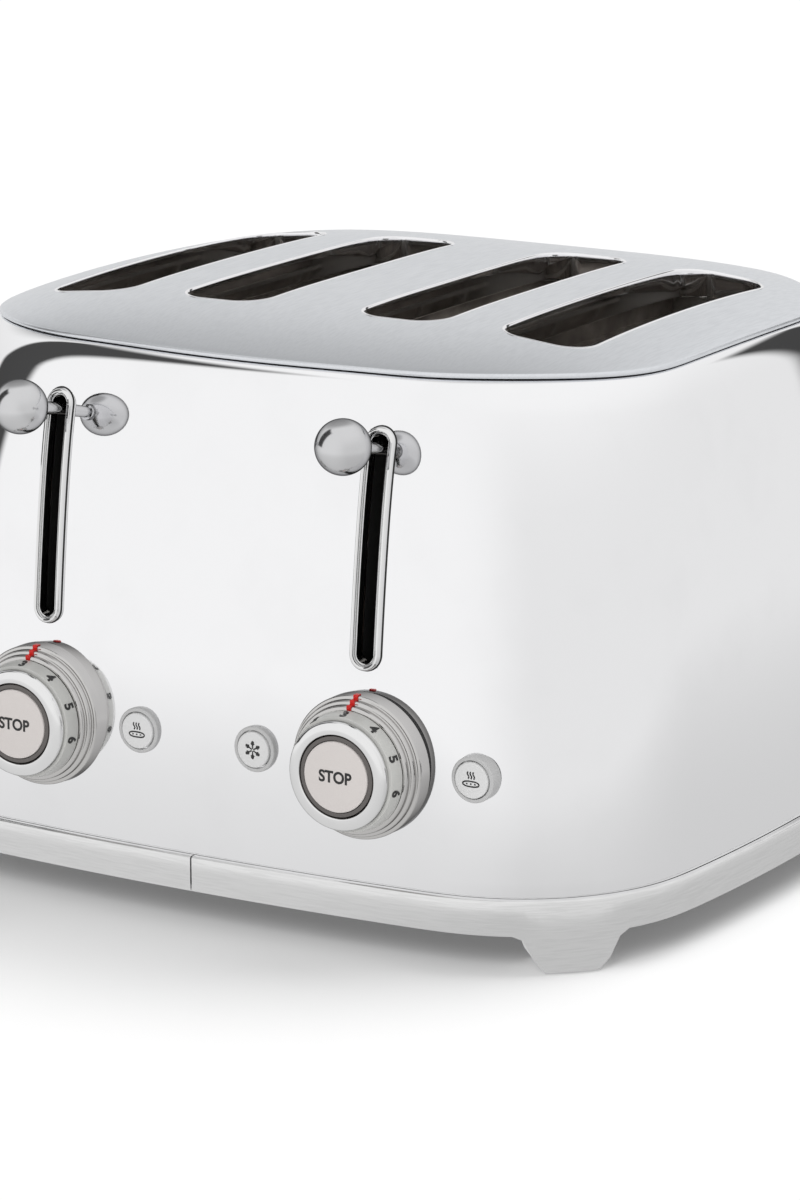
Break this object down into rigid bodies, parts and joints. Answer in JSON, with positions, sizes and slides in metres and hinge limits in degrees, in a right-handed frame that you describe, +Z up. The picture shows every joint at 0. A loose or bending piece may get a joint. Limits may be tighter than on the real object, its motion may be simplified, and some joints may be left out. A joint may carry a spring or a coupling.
{
  "type": "toaster",
  "caption": "Retro pop-up toaster: polished curved shell, domed top with long bread slots, ball-ended levers, numbered dials, push buttons, footed base trim and slide-out crumb trays.",
  "frame": {"origin": "on the standing surface, under the middle of the overall box", "axes": "+Z up, -Y towards the levers and dials, +X to the right of someone facing the front"},
  "size_m": [0.334, 0.3231, 0.2129],
  "materials": {
    "polished_steel": "mirror polished stainless steel",
    "satin_steel": "satin stainless steel with a bright rolled rim",
    "trim_metal": "satin silver",
    "chrome": "bright chrome plate",
    "button_grey": "fine matt, warm light grey",
    "small_button_grey": "light grey, slightly shiny",
    "light_ring": "smoky translucent grey",
    "rubber": "matt black",
    "mica": "dark brown mica wound with ribbon",
    "zinc_sheet": "dull zinc-coated sheet",
    "wire_steel": "plain steel wire",
    "board_green": "green circuit board",
    "coil_brown": "iron core in a varnished copper coil",
    "base_black": "matt black moulded plastic"
  },
  "bodies": {
    "chassis": {"body_shell": "polished_steel", "top_cover": "satin_steel", "base_trim_left": "trim_metal", "foot_pad_front_left": "rubber", "foot_pad_rear_left": "rubber", "lever_bezel_left": "chrome", "dial_flange_left": "chrome", "light_ring_left": "light_ring", "defrost_left_collar": "chrome", "reheat_left_collar": "chrome", "side_reflector_left": "zinc_sheet", "control_board_left": "board_green", "guide_rod_left": "wire_steel", "return_spring_left": "wire_steel", "latch_magnet_left": "coil_brown", "heater_outer_left": "mica", "heater_middle_left": "mica", "heater_inner_left": "mica", "base_trim_right": "trim_metal", "foot_pad_front_right": "rubber", "foot_pad_rear_right": "rubber", "lever_bezel_right": "chrome", "dial_flange_right": "chrome", "light_ring_right": "light_ring", "defrost_right_collar": "chrome", "reheat_right_collar": "chrome", "side_reflector_right": "zinc_sheet", "control_board_right": "board_green", "guide_rod_right": "wire_steel", "return_spring_right": "wire_steel", "latch_magnet_right": "coil_brown", "heater_outer_right": "mica", "heater_middle_right": "mica", "heater_inner_right": "mica", "base_plate": "base_black", "cord_gland": "rubber", "front_bulkhead": "zinc_sheet", "rear_bulkhead": "zinc_sheet"},
    "lever_left": {"bread_carriage_left": "zinc_sheet", "lever_ball_left": "chrome"},
    "lever_right": {"bread_carriage_right": "zinc_sheet", "lever_ball_right": "chrome"},
    "bread_guide_1a": {"bread_guide_1a": "wire_steel"},
    "bread_guide_1b": {"bread_guide_1b": "wire_steel"},
    "bread_guide_2a": {"bread_guide_2a": "wire_steel"},
    "bread_guide_2b": {"bread_guide_2b": "wire_steel"},
    "bread_guide_3a": {"bread_guide_3a": "wire_steel"},
    "bread_guide_3b": {"bread_guide_3b": "wire_steel"},
    "bread_guide_4a": {"bread_guide_4a": "wire_steel"},
    "bread_guide_4b": {"bread_guide_4b": "wire_steel"},
    "dial_left": {"dial_left": "chrome"},
    "stop_button_left": {"stop_button_left": "button_grey"},
    "defrost_left_button": {"defrost_left_button": "small_button_grey"},
    "reheat_left_button": {"reheat_left_button": "small_button_grey"},
    "crumb_tray_left": {"crumb_tray_left": "zinc_sheet"},
    "dial_right": {"dial_right": "chrome"},
    "stop_button_right": {"stop_button_right": "button_grey"},
    "defrost_right_button": {"defrost_right_button": "small_button_grey"},
    "reheat_right_button": {"reheat_right_button": "small_button_grey"},
    "crumb_tray_right": {"crumb_tray_right": "zinc_sheet"}
  },
  "joints": [
    {"name": "lever_left_slide", "type": "slide", "parent": "chassis", "child": "lever_left", "axis": [0, 0, 1], "range_m": [-0.0715, 0], "stiffness_N_per_m": 200, "springref_m": 0.03, "deforming": ["return_spring_left"]},
    {"name": "lever_right_slide", "type": "slide", "parent": "chassis", "child": "lever_right", "axis": [0, 0, 1], "range_m": [-0.0715, 0], "stiffness_N_per_m": 200, "springref_m": 0.03, "deforming": ["return_spring_right"]},
    {"name": "bread_guide_1a_slide", "type": "slide", "parent": "chassis", "child": "bread_guide_1a", "axis": [1, 0, 0], "range_m": [0, 0.006]},
    {"name": "bread_guide_1b_slide", "type": "slide", "parent": "chassis", "child": "bread_guide_1b", "axis": [-1, 0, 0], "range_m": [0, 0.006]},
    {"name": "bread_guide_2a_slide", "type": "slide", "parent": "chassis", "child": "bread_guide_2a", "axis": [1, 0, 0], "range_m": [0, 0.006]},
    {"name": "bread_guide_2b_slide", "type": "slide", "parent": "chassis", "child": "bread_guide_2b", "axis": [-1, 0, 0], "range_m": [0, 0.006]},
    {"name": "bread_guide_3a_slide", "type": "slide", "parent": "chassis", "child": "bread_guide_3a", "axis": [1, 0, 0], "range_m": [0, 0.006]},
    {"name": "bread_guide_3b_slide", "type": "slide", "parent": "chassis", "child": "bread_guide_3b", "axis": [-1, 0, 0], "range_m": [0, 0.006]},
    {"name": "bread_guide_4a_slide", "type": "slide", "parent": "chassis", "child": "bread_guide_4a", "axis": [1, 0, 0], "range_m": [0, 0.006]},
    {"name": "bread_guide_4b_slide", "type": "slide", "parent": "chassis", "child": "bread_guide_4b", "axis": [-1, 0, 0], "range_m": [0, 0.006]},
    {"name": "dial_left_turn", "type": "hinge", "parent": "chassis", "child": "dial_left", "pos_m": [-0.067, -0.15873, 0.0689], "axis": [0, 1, 0], "range_deg": [-102, 68]},
    {"name": "stop_button_left_press", "type": "slide", "parent": "chassis", "child": "stop_button_left", "axis": [0, 1, 0], "range_m": [0, 0.002], "stiffness_N_per_m": 500, "springref_m": -0.003},
    {"name": "defrost_left_button_press", "type": "slide", "parent": "chassis", "child": "defrost_left_button", "axis": [0, 1, 0], "range_m": [0, 0.0015], "stiffness_N_per_m": 400, "springref_m": -0.002},
    {"name": "reheat_left_button_press", "type": "slide", "parent": "chassis", "child": "reheat_left_button", "axis": [0, 1, 0], "range_m": [0, 0.0015], "stiffness_N_per_m": 400, "springref_m": -0.002},
    {"name": "crumb_tray_left_slide", "type": "slide", "parent": "chassis", "child": "crumb_tray_left", "axis": [0, 1, 0], "range_m": [0, 0.2]},
    {"name": "dial_right_turn", "type": "hinge", "parent": "chassis", "child": "dial_right", "pos_m": [0.067, -0.15873, 0.0689], "axis": [0, 1, 0], "range_deg": [-102, 68]},
    {"name": "stop_button_right_press", "type": "slide", "parent": "chassis", "child": "stop_button_right", "axis": [0, 1, 0], "range_m": [0, 0.002], "stiffness_N_per_m": 500, "springref_m": -0.003},
    {"name": "defrost_right_button_press", "type": "slide", "parent": "chassis", "child": "defrost_right_button", "axis": [0, 1, 0], "range_m": [0, 0.0015], "stiffness_N_per_m": 400, "springref_m": -0.002},
    {"name": "reheat_right_button_press", "type": "slide", "parent": "chassis", "child": "reheat_right_button", "axis": [0, 1, 0], "range_m": [0, 0.0015], "stiffness_N_per_m": 400, "springref_m": -0.002},
    {"name": "crumb_tray_right_slide", "type": "slide", "parent": "chassis", "child": "crumb_tray_right", "axis": [0, 1, 0], "range_m": [0, 0.2]}
  ],
  "couplings": [
    {"joint": "bread_guide_1a_slide", "follows": "lever_left_slide", "ratio": -0.0839},
    {"joint": "bread_guide_1b_slide", "follows": "lever_left_slide", "ratio": -0.0839},
    {"joint": "bread_guide_2a_slide", "follows": "lever_left_slide", "ratio": -0.0839},
    {"joint": "bread_guide_2b_slide", "follows": "lever_left_slide", "ratio": -0.0839},
    {"joint": "bread_guide_3a_slide", "follows": "lever_right_slide", "ratio": -0.0839},
    {"joint": "bread_guide_3b_slide", "follows": "lever_right_slide", "ratio": -0.0839},
    {"joint": "bread_guide_4a_slide", "follows": "lever_right_slide", "ratio": -0.0839},
    {"joint": "bread_guide_4b_slide", "follows": "lever_right_slide", "ratio": -0.0839}
  ]
}
